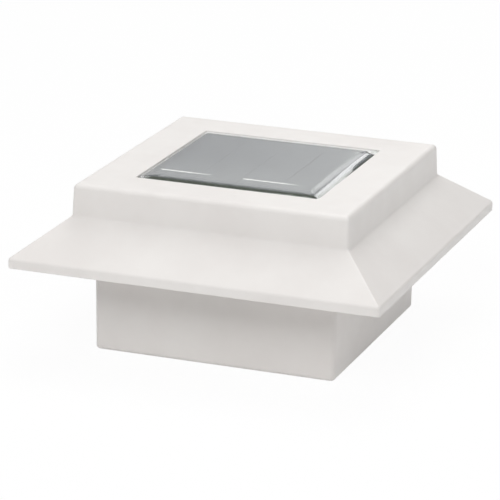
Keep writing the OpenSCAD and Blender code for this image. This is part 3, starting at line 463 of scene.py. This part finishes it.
def square_ring(half, radius, z, steps=7, side_steps=1):
    """Points round a square with round corners, counter-clockwise."""
    middle = half - radius
    points = []
    for quarter in range(4):
        x = middle if quarter in (0, 3) else -middle
        y = middle if quarter in (0, 1) else -middle
        for step in range(steps + 1):
            turn = math.radians(90 * quarter + 90 * step / steps)
            points.append((x + radius * math.cos(turn), y + radius * math.sin(turn), z))
        along = math.radians(90 * quarter + 180)
        corner_x, corner_y, _ = points[-1]
        for step in range(1, side_steps):
            reach = 2 * middle * step / side_steps
            points.append((corner_x + reach * math.cos(along), corner_y + reach * math.sin(along), z))
    return points


def loft(bm, rings):
    """A closed skin over rings of as many points each, with a lid at both ends."""
    rows = [[bm.verts.new(p) for p in ring] for ring in rings]
    for low, high in zip(rows, rows[1:]):
        count = len(low)
        for i in range(count):
            j = (i + 1) % count
            bm.faces.new((low[i], low[j], high[j], high[i]))
    bm.faces.new(rows[0][::-1])
    bm.faces.new(rows[-1])


def arc(centre_x, centre_z, radius, start, end, steps):
    """Points of an arc in the profile plane, by angle in degrees from the outward direction."""
    turns = (math.radians(start + (end - start) * i / steps) for i in range(steps + 1))
    return [(centre_x + radius * math.cos(turn), centre_z + radius * math.sin(turn)) for turn in turns]


def blend_corner(first, corner, last, steps):
    """Points of a small fillet that rounds a concave corner of the profile."""
    points = []
    for i in range(steps + 1):
        t = i / steps
        a, b, c = (1 - t) ** 2, 2 * t * (1 - t), t * t
        points.append(tuple(a * first[k] + b * corner[k] + c * last[k] for k in range(2)))
    return points


def between(a, b, c, d, t):
    """The point at share t from b to c, on the smooth curve through a, b, c and d."""
    square, cube = 2 * a - 5 * b + 4 * c - d, 3 * b - a - 3 * c + d
    return (2 * b + (c - a) * t + square * t * t + cube * t ** 3) / 2


def smooth_route(route, steps):
    """Points of the smooth curve through a route, with some steps from each of its points to the next."""
    points = [Vector(p) for p in route]
    last = len(points) - 1
    made = []
    for i in range(last):
        a, b, c, d = (points[max(0, min(last, k))] for k in (i - 1, i, i + 1, i + 2))
        made += [between(a, b, c, d, s / steps) for s in range(steps)]
    return made + [points[-1]]


def tube(bm, path, radius, sides, start):
    """A round tube along a path, closed at its ends. Its first point of a ring lies towards start."""
    side = Vector(start)
    turns = [2 * math.pi * k / sides for k in range(sides)]
    rings = []
    last = len(path) - 1
    for i, point in enumerate(path):
        along = (path[min(i + 1, last)] - path[max(i - 1, 0)]).normalized()
        side = (side - along * side.dot(along)).normalized()
        up = along.cross(side)
        rings.append([point + radius * (math.cos(turn) * side + math.sin(turn) * up) for turn in turns])
    loft(bm, rings)


# ------------------------------------------------------------------ the cap

# Half widths and heights, with the eave's width and the cap's top from the frame.
WALL, EAVE_EDGE, ROOF_RISE = 2.5, 4.0, 15.8
EAVE_INSIDE = EAVE - WALL
ROOF_Z = EAVE_Z + EAVE_EDGE
BLOCK, BLOCK_DRAFT = 62.0, 0.6
BLOCK_TOP = BLOCK - BLOCK_DRAFT
BLOCK_Z = ROOF_Z + ROOF_RISE
WINDOW, SEAT_DEPTH, SEAT_FLOOR, SEAT_WALL = 41.2, 5.4, 2.0, 2.0
SEAT_Z = TOP_Z - SEAT_DEPTH
SEAT_LOW = SEAT_Z - SEAT_FLOOR
SEAT_OUTSIDE = WINDOW + SEAT_WALL
# Half width of the flat lids that close the seat's floor over its middle.
FLOOR_MIDDLE = 12.0
SLOPE = (BLOCK_Z - ROOF_Z) / (EAVE - BLOCK)
PITCH = math.degrees(math.atan(SLOPE))
ROOF_WALL = WALL / math.cos(math.radians(PITCH))
BOSS_AT = 67.4
# Radii of the cap's rounded edges, and the radii that its upright corners have on the way up.
LOW_ROUND, EAVE_ROUND, FOOT_ROUND, RIM_ROUND, LIP_ROUND = 0.4, 1.8, 0.7, 2.3, 0.45
EAVE_CORNER, HIP_CORNER, BLOCK_CORNER, WINDOW_CORNER = 1.5, 0.35, 1.4, 1.0


def roof_underside(distance):
    """Height of the roof's inner face at a distance from the middle."""
    return ROOF_Z + (EAVE - distance) * SLOPE - ROOF_WALL


def inside_profile():
    """The cap's inner face, from the middle of the seat's floor down to the eave."""
    return [
        (FLOOR_MIDDLE, 1, SEAT_LOW),
        (SEAT_OUTSIDE - 0.2, 3, SEAT_LOW),
        (SEAT_OUTSIDE, 3, SEAT_LOW + 0.2),
        (SEAT_OUTSIDE, 3, TOP_Z - WALL),
        (BLOCK_TOP - WALL, 0.6, TOP_Z - WALL),
        (BLOCK - WALL, 0.6, roof_underside(BLOCK - WALL)),
        (EAVE_INSIDE, 0.8, roof_underside(EAVE_INSIDE)),
        (EAVE_INSIDE, 0.8, EAVE_Z + 0.25),
        (EAVE_INSIDE + 0.25, 0.9, EAVE_Z),
    ]


def eave_profile():
    """The eave's upright edge, rounded below and where it turns into the roof."""
    low = arc(EAVE - LOW_ROUND, EAVE_Z + LOW_ROUND, LOW_ROUND, -90, 0, 4)
    stations = [(x, EAVE_CORNER - (EAVE - x), z) for x, z in low]
    arc_z = ROOF_Z + EAVE_ROUND * (SLOPE - 1 / math.cos(math.radians(PITCH)))
    for x, z in arc(EAVE - EAVE_ROUND, arc_z, EAVE_ROUND, 0, 90 - PITCH, 8):
        stations.append((x, max(HIP_CORNER, EAVE_CORNER - 1.2 * (EAVE - x)), z))
    return stations


def block_profile():
    """The raised block, from its foot in the roof over its rim to the window's lip."""
    lean = math.atan(BLOCK_DRAFT / (TOP_Z - BLOCK_Z))
    start = (BLOCK + FOOT_ROUND, BLOCK_Z - FOOT_ROUND * SLOPE)
    end = (BLOCK - FOOT_ROUND * 0.044, BLOCK_Z + FOOT_ROUND)
    steps = 5
    growth = (BLOCK_CORNER - HIP_CORNER) / steps
    foot = blend_corner(start, (BLOCK, BLOCK_Z), end, steps)
    stations = [(x, HIP_CORNER + growth * i, z) for i, (x, z) in enumerate(foot)]
    rim_x = BLOCK_TOP - RIM_ROUND * (1 / math.cos(lean) - math.tan(lean))
    for x, z in arc(rim_x, TOP_Z - RIM_ROUND, RIM_ROUND, math.degrees(lean), 90, 10):
        stations.append((x, max(0.25, BLOCK_CORNER - 0.8 * (BLOCK_TOP - x)), z))
    for x, z in arc(WINDOW + LIP_ROUND, TOP_Z - LIP_ROUND, LIP_ROUND, 90, 180, 6):
        stations.append((x, WINDOW_CORNER + (x - WINDOW), z))
    return stations


def cap_profile():
    """Stations of the cap as (half width, corner radius, height), from inside the seat, out and back."""
    seat = [
        (WINDOW, WINDOW_CORNER, SEAT_Z + 0.3), (WINDOW - 0.3, 0.8, SEAT_Z), (FLOOR_MIDDLE, 1, SEAT_Z),
    ]
    return inside_profile() + eave_profile() + block_profile() + seat


def add_cap(materials):
    bm = bmesh.new()
    loft(bm, [square_ring(*station) for station in cap_profile()])
    for x in (-BOSS_AT, BOSS_AT):
        for y in (-BOSS_AT, BOSS_AT):
            add_boss(bm, x, y)
    mesh = finish_mesh("cap", bm)
    piece = add_piece("cap", mesh, materials["shell_white"], "cap_shell")
    weigh_normals(piece)


def add_boss(bm, x, y, sides=32):
    """A screw boss under the roof, whose top follows the roof into its wall."""
    outer, hole, low, depth = 3.8, 1.35, 45.5, 5.2
    edge, hole_edge, sunk = 0.25, 0.2, 0.6

    def ring(radius, height=None):
        """A ring at a height, or else just inside the roof's wall."""
        points = []
        for k in range(sides):
            turn = 2 * math.pi * k / sides
            px, py = x + radius * math.cos(turn), y + radius * math.sin(turn)
            top = roof_underside(max(abs(px), abs(py))) + sunk
            points.append((px, py, top if height is None else height))
        return points

    loft(bm, [
        ring(hole * 0.1, low + depth),
        ring(hole, low + depth),
        ring(hole, low + hole_edge),
        ring(hole + hole_edge, low),
        ring(outer - edge, low),
        ring(outer, low + edge),
        ring(outer),
        ring(outer * 0.1),
    ])


# ------------------------------------------------------------------ the solar panel

# The resin reaches almost to the window's wall, stands on the panel's board and ends under the top.
PANEL = WINDOW - 0.1
CELLS_Z = node_box("panel_board")[1][2]
RESIN_TOP = TOP_Z - 0.15
# Steps of a ring of the resin, in each corner and along each side.
RING_STEPS = (14, 12)
# Slopes of the resin's skin, as (distance in from the edge, slope in degrees).
FRONT_SLOPES = [(10.5, 0), (6.5, 2.5), (5, 4.5), (4, 8), (2.5, 15), (1, 30), (0, 50)]
RIGHT_SLOPES = [(11, 0), (8, 1.5), (5, 5.5), (3.8, 9.5), (1.0, 17), (0.6, 35), (0, 55)]
RIGHT_BACK_SLOPES = [(10, 0), (7.2, 1.5), (4.8, 5.5), (4.0, 20), (1, 30), (0, 55)]
OTHER_SLOPES = [(4, 0), (1.5, 2), (0.5, 14), (0, 50)]


def smooth_step(low, high, value):
    """0 below the low value and 1 above the high one, with a soft way between them."""
    t = max(0.0, min(1.0, (value - low) / (high - low)))
    return t * t * (3 - 2 * t)


def fall(slopes, inward):
    """How far the skin has fallen at a distance in from its edge."""
    drop, step = 0.0, 0.05
    at = slopes[0][0] - step / 2
    while at > inward:
        for (outer, low), (inner, high) in zip(slopes, slopes[1:]):
            if inner <= at <= outer:
                slope = low + (high - low) * (outer - at) / (outer - inner)
                drop += step * math.tan(math.radians(slope))
                break
        at -= step
    return drop


def resin_height(inward, x, y):
    """Height of the resin's surface at a distance in from its edge, near a point of that edge."""
    front = smooth_step(-1.5, 1.5, -y - abs(x))
    right = smooth_step(-1.5, 1.5, x - abs(y))
    back_share = smooth_step(-6, 14, y)
    drop = front * fall(FRONT_SLOPES, inward) + max(0.0, 1 - front - right) * fall(OTHER_SLOPES, inward)
    if right:
        drop += right * (1 - back_share) * fall(RIGHT_SLOPES, inward)
        drop += right * back_share * fall(RIGHT_BACK_SLOPES, inward)
    return RESIN_TOP - drop


def resin_ring(inward, corner, drop):
    """A ring of the resin's skin, at its own height or a little under it."""
    ring = square_ring(PANEL - inward, corner, 0, *RING_STEPS)
    return [(x, y, resin_height(inward, x, y) - drop) for x, y, _ in ring]


def resin_rings():
    """Rings of the resin from under its middle, up its wall and over its skin to the flat middle."""
    corner, edge = 1.5, 0.2
    sunk = CELLS_Z - 0.05
    middle = PANEL - 20
    count, first, border = 46, 0.06, 12.2
    rings = [
        square_ring(middle, 6, sunk, *RING_STEPS),
        square_ring(PANEL - edge, corner, sunk, *RING_STEPS),
        square_ring(PANEL, corner, sunk + edge, *RING_STEPS),
        resin_ring(0, corner, 0.5),
        resin_ring(0, corner, 0.12),
    ]
    for i in range(1, count + 1):
        inward = first + border * (i / count) ** 1.5
        rings.append(resin_ring(inward, corner + 0.3 * inward, 0))
    rings.append(square_ring(middle, 7, RESIN_TOP, *RING_STEPS))
    return rings


def paint_walls(mesh):
    """Gives the pour wall's look to the resin's upright faces on its left and back sides."""
    inner = (PANEL - 3) * MM
    for face in mesh.polygons:
        upright = abs(face.normal.z) < 0.3
        behind = face.center.x < -inner or face.center.y > inner
        face.material_index = 1 if upright and behind else 0


def add_resin(materials):
    bm = bmesh.new()
    loft(bm, resin_rings())
    mesh = finish_mesh("resin", bm)
    paint_walls(mesh)
    shells = bmesh.new()
    shells.from_mesh(mesh)
    add_bubbles(shells)
    shells.to_mesh(mesh)
    shells.free()
    mesh.shade_smooth()
    piece = add_piece("resin", mesh, materials["resin"], "panel_resin")
    mesh.materials.append(materials["pour_wall"])
    piece.visible_shadow = False
    weigh_normals(piece)


def add_bubbles(bm):
    """Tiny air bubbles that were caught along the resin's right border, as shells that face inwards."""
    dice = random.Random(5)
    low = CELLS_Z + 1.1
    for _ in range(26):
        radius = dice.uniform(0.08, 0.2) * MM
        inward = dice.uniform(0.9, 3.2)
        along = dice.uniform(2, 34)
        top = resin_height(inward, PANEL, along)
        place = Vector((PANEL - inward, along, dice.uniform(low, top - 0.3))) * MM
        spot = Matrix.Translation(place)
        made = bmesh.ops.create_icosphere(bm, subdivisions=2, radius=radius, matrix=spot)
        faces = {face for vert in made["verts"] for face in vert.link_faces}
        bmesh.ops.reverse_faces(bm, faces=list(faces))


# ------------------------------------------------------------------ wires and spring

# Radius of a wire. The routes are those of the part's source, given one by one.
WIRE = 0.65


def mirrored(route):
    return [(-x, y, z) for x, y, z in route]


def solar_route(x, landing_x):
    """From the panel's board down through the wire hole to the charging board."""
    y = -20.25
    return [
        (x, y, 70.0), (x, y, 66.1), (x - 0.4, y - 2, 61), (x - 2.6, y - 7, 57),
        (landing_x, -30, 55.2), (landing_x, -30, 52.9),
    ]


FRONT_RED = [
    (-4, -66.3, 49.0), (-4, -66.3, 51), (-3, -62.3, 52.5), (0, -50, 53.2), (4, -38, 54.6),
    (6, -31, 55.2), (6, -31, 52.9),
]
FRONT_BLACK = [
    (4, -66.3, 49.0), (4, -66.3, 51), (5, -62.3, 52.5), (7, -50, 53.2), (9, -38, 54.6),
    (10, -31, 55.2), (10, -31, 52.9),
]
RIGHT_RED = [
    (66.3, -4, 49.0), (66.3, -4, 51), (62.3, -5.5, 52.4), (52, -11, 52.9), (40, -20, 53.6), (29, -29, 54.8),
    (22, -31, 55.2), (22, -31, 52.9),
]
RIGHT_BLACK = [
    (66.3, 4, 49.0), (66.3, 4, 51), (62.3, 2, 52.4), (52, -5, 52.9), (40, -15, 53.6), (30, -24, 54.8),
    (22, -28, 55.2), (22, -28, 52.9),
]
BACK_RED = [
    (4, 66.3, 49.0), (4, 66.3, 51), (7, 62.3, 52.2), (18, 54, 52), (32, 44, 51), (41, 32, 50),
    (43.5, 20, 49.8), (43.5, 4, 49.8), (38, -6, 51), (29, -12, 53.8), (22, -14, 55.2), (22, -14, 52.9),
]
BACK_BLACK = [
    (-4, 66.3, 49.0), (-4, 66.3, 51), (0, 61.3, 52.2), (16, 51.5, 52), (30, 41.5, 51), (38.5, 30.5, 50),
    (41, 19, 49.8), (41, 5, 49.8), (36, -3.5, 51), (28, -9, 53.8), (22, -11, 55.2), (22, -11, 52.9),
]
ROUTES = {
    "solar_wire_red": solar_route(-13.65, -17.15),
    "solar_wire_black": solar_route(-10.65, -13.15),
    "battery_wire_red": [
        (28.8, 14, 63.6), (30.6, 14, 63.6), (33, 8, 61), (30, -2, 57), (22, -8, 55.8),
        (14, -11, 55.2), (14, -11, 52.9),
    ],
    "battery_wire_black": [
        (-28.8, 14, 63.6), (-30.6, 14, 63.6), (-33, 8, 61), (-30, -2, 57), (-23, -9, 55.8),
        (-18, -11, 55.2), (-18, -11, 52.9),
    ],
    "lamp_wire_front_red": FRONT_RED,
    "lamp_wire_front_black": FRONT_BLACK,
    "lamp_wire_right_red": RIGHT_RED,
    "lamp_wire_right_black": RIGHT_BLACK,
    "lamp_wire_back_red": BACK_RED,
    "lamp_wire_back_black": BACK_BLACK,
    "lamp_wire_left_red": mirrored(RIGHT_RED),
    "lamp_wire_left_black": mirrored(RIGHT_BLACK),
}


def add_wires(materials):
    for name, route in ROUTES.items():
        bm = bmesh.new()
        tube(bm, smooth_route(route, 6), WIRE, 14, (0, 1, 0))
        slot = "wire_red" if name.endswith("red") else "wire_black"
        smooth = name + "_smooth"
        add_piece(smooth, finish_mesh(smooth, bm), materials[slot], name)


def add_spring(materials):
    """The tapered spring behind the cell, wound on the cell's axis."""
    turns, wire, wide, narrow, length, per_turn = 4, 0.35, 5.2, 3.0, 5.6, 28
    start_x, axis_y, axis_z = -28.3, 14, 52.7
    count = turns * per_turn
    path = []
    for i in range(count + 1):
        radius = wide + (narrow - wide) * i / count
        turn = 2 * math.pi * i / per_turn
        along = wire + (length - 2 * wire) * i / count
        y, z = axis_y + radius * math.sin(turn), axis_z - radius * math.cos(turn)
        path.append(Vector((start_x + along, y, z)))
    bm = bmesh.new()
    tube(bm, path, wire, 10, (1, 0, 0))
    add_piece("spring_coil", finish_mesh("spring_coil", bm), materials["tin"], "contact_spring")


# ------------------------------------------------------------------ studio

# Lamps as (name, azimuth from +Y towards +X, elevation, distance, width, height, watts). The last
# three are there for the resin's skin, which reflects them.
LAMPS = [
    ("top_lamp", -45, 82, 1.3, 1.2, 1.2, 6.1),
    ("back_lamp", 0, 62, 1.6, 1.1, 0.9, 8.9),
    ("left_lamp", -145.5, 37.7, 1.6, 1.1, 0.9, 6.5),
    ("front_lamp", 172, 39.5, 1.6, 0.8, 0.6, 8.5),
    ("right_lamp", 83.7, 37.7, 1.6, 1.1, 0.9, 6.9),
    ("backdrop_lamp", -20, 13.5, 1.6, 1.3, 0.5, 2.0),
    ("ridge_lamp", -15.0, 19.2, 1.6, 0.09, 0.09, 0.026),
    ("strip_lamp", -5.5, 24.5, 1.6, 0.3, 0.16, 0.55),
]
LAMPS_AIM = Vector((0, 0, 0.05))


def add_floor(materials):
    """A sheet of paper just under the collar's rim."""
    half_width, steps, under = 3.0, 24, 0.0002
    bm = bmesh.new()
    bmesh.ops.create_grid(bm, x_segments=steps, y_segments=steps, size=half_width)
    mesh = bpy.data.meshes.new("floor")
    bm.to_mesh(mesh)
    bm.free()
    floor = bpy.data.objects.new("floor", mesh)
    floor.location.z = -under
    bpy.context.collection.objects.link(floor)
    mesh.materials.append(materials["floor_paper"])


def add_lamp(name, azimuth, elevation, distance, width, height, watts):
    data = bpy.data.lights.new(name, "AREA")
    data.shape = "RECTANGLE"
    data.size, data.size_y = width, height
    data.energy = watts
    lamp = bpy.data.objects.new(name, data)
    turn, rise = math.radians(azimuth), math.radians(elevation)
    towards = Vector((math.cos(rise) * math.sin(turn), math.cos(rise) * math.cos(turn), math.sin(rise)))
    lamp.location = LAMPS_AIM + towards * distance
    lamp.rotation_euler = towards.to_track_quat("Z", "Y").to_euler()
    bpy.context.collection.objects.link(lamp)


def add_world():
    """Dark surroundings that the camera sees as white, also through clear things."""
    world = bpy.data.worlds.new("studio")
    bpy.context.scene.world = world
    world.use_nodes = True
    tree = world.node_tree
    dark = tree.nodes["Background"]
    dark.inputs["Strength"].default_value = 0.0
    shown = tree.nodes.new("ShaderNodeBackground")
    shown.inputs["Color"].default_value = (1, 1, 1, 1)
    shown.inputs["Strength"].default_value = 1.0
    seen = tree.nodes.new("ShaderNodeLightPath").outputs
    either = tree.nodes.new("ShaderNodeMath")
    either.operation = "MAXIMUM"
    tree.links.new(seen["Is Camera Ray"], either.inputs[0])
    tree.links.new(seen["Is Transmission Ray"], either.inputs[1])
    both = tree.nodes.new("ShaderNodeMixShader")
    tree.links.new(either.outputs[0], both.inputs[0])
    tree.links.new(dark.outputs[0], both.inputs[1])
    tree.links.new(shown.outputs[0], both.inputs[2])
    tree.links.new(both.outputs[0], tree.nodes["World Output"].inputs["Surface"])


def add_studio(materials):
    add_floor(materials)
    add_world()
    for lamp in LAMPS:
        add_lamp(*lamp)


bpy.context.scene.view_settings.view_transform = "Standard"
add_camera()
MATERIALS = make_materials()
dress_nodes(MATERIALS)
add_cap(MATERIALS)
add_resin(MATERIALS)
add_wires(MATERIALS)
add_spring(MATERIALS)
add_studio(MATERIALS)
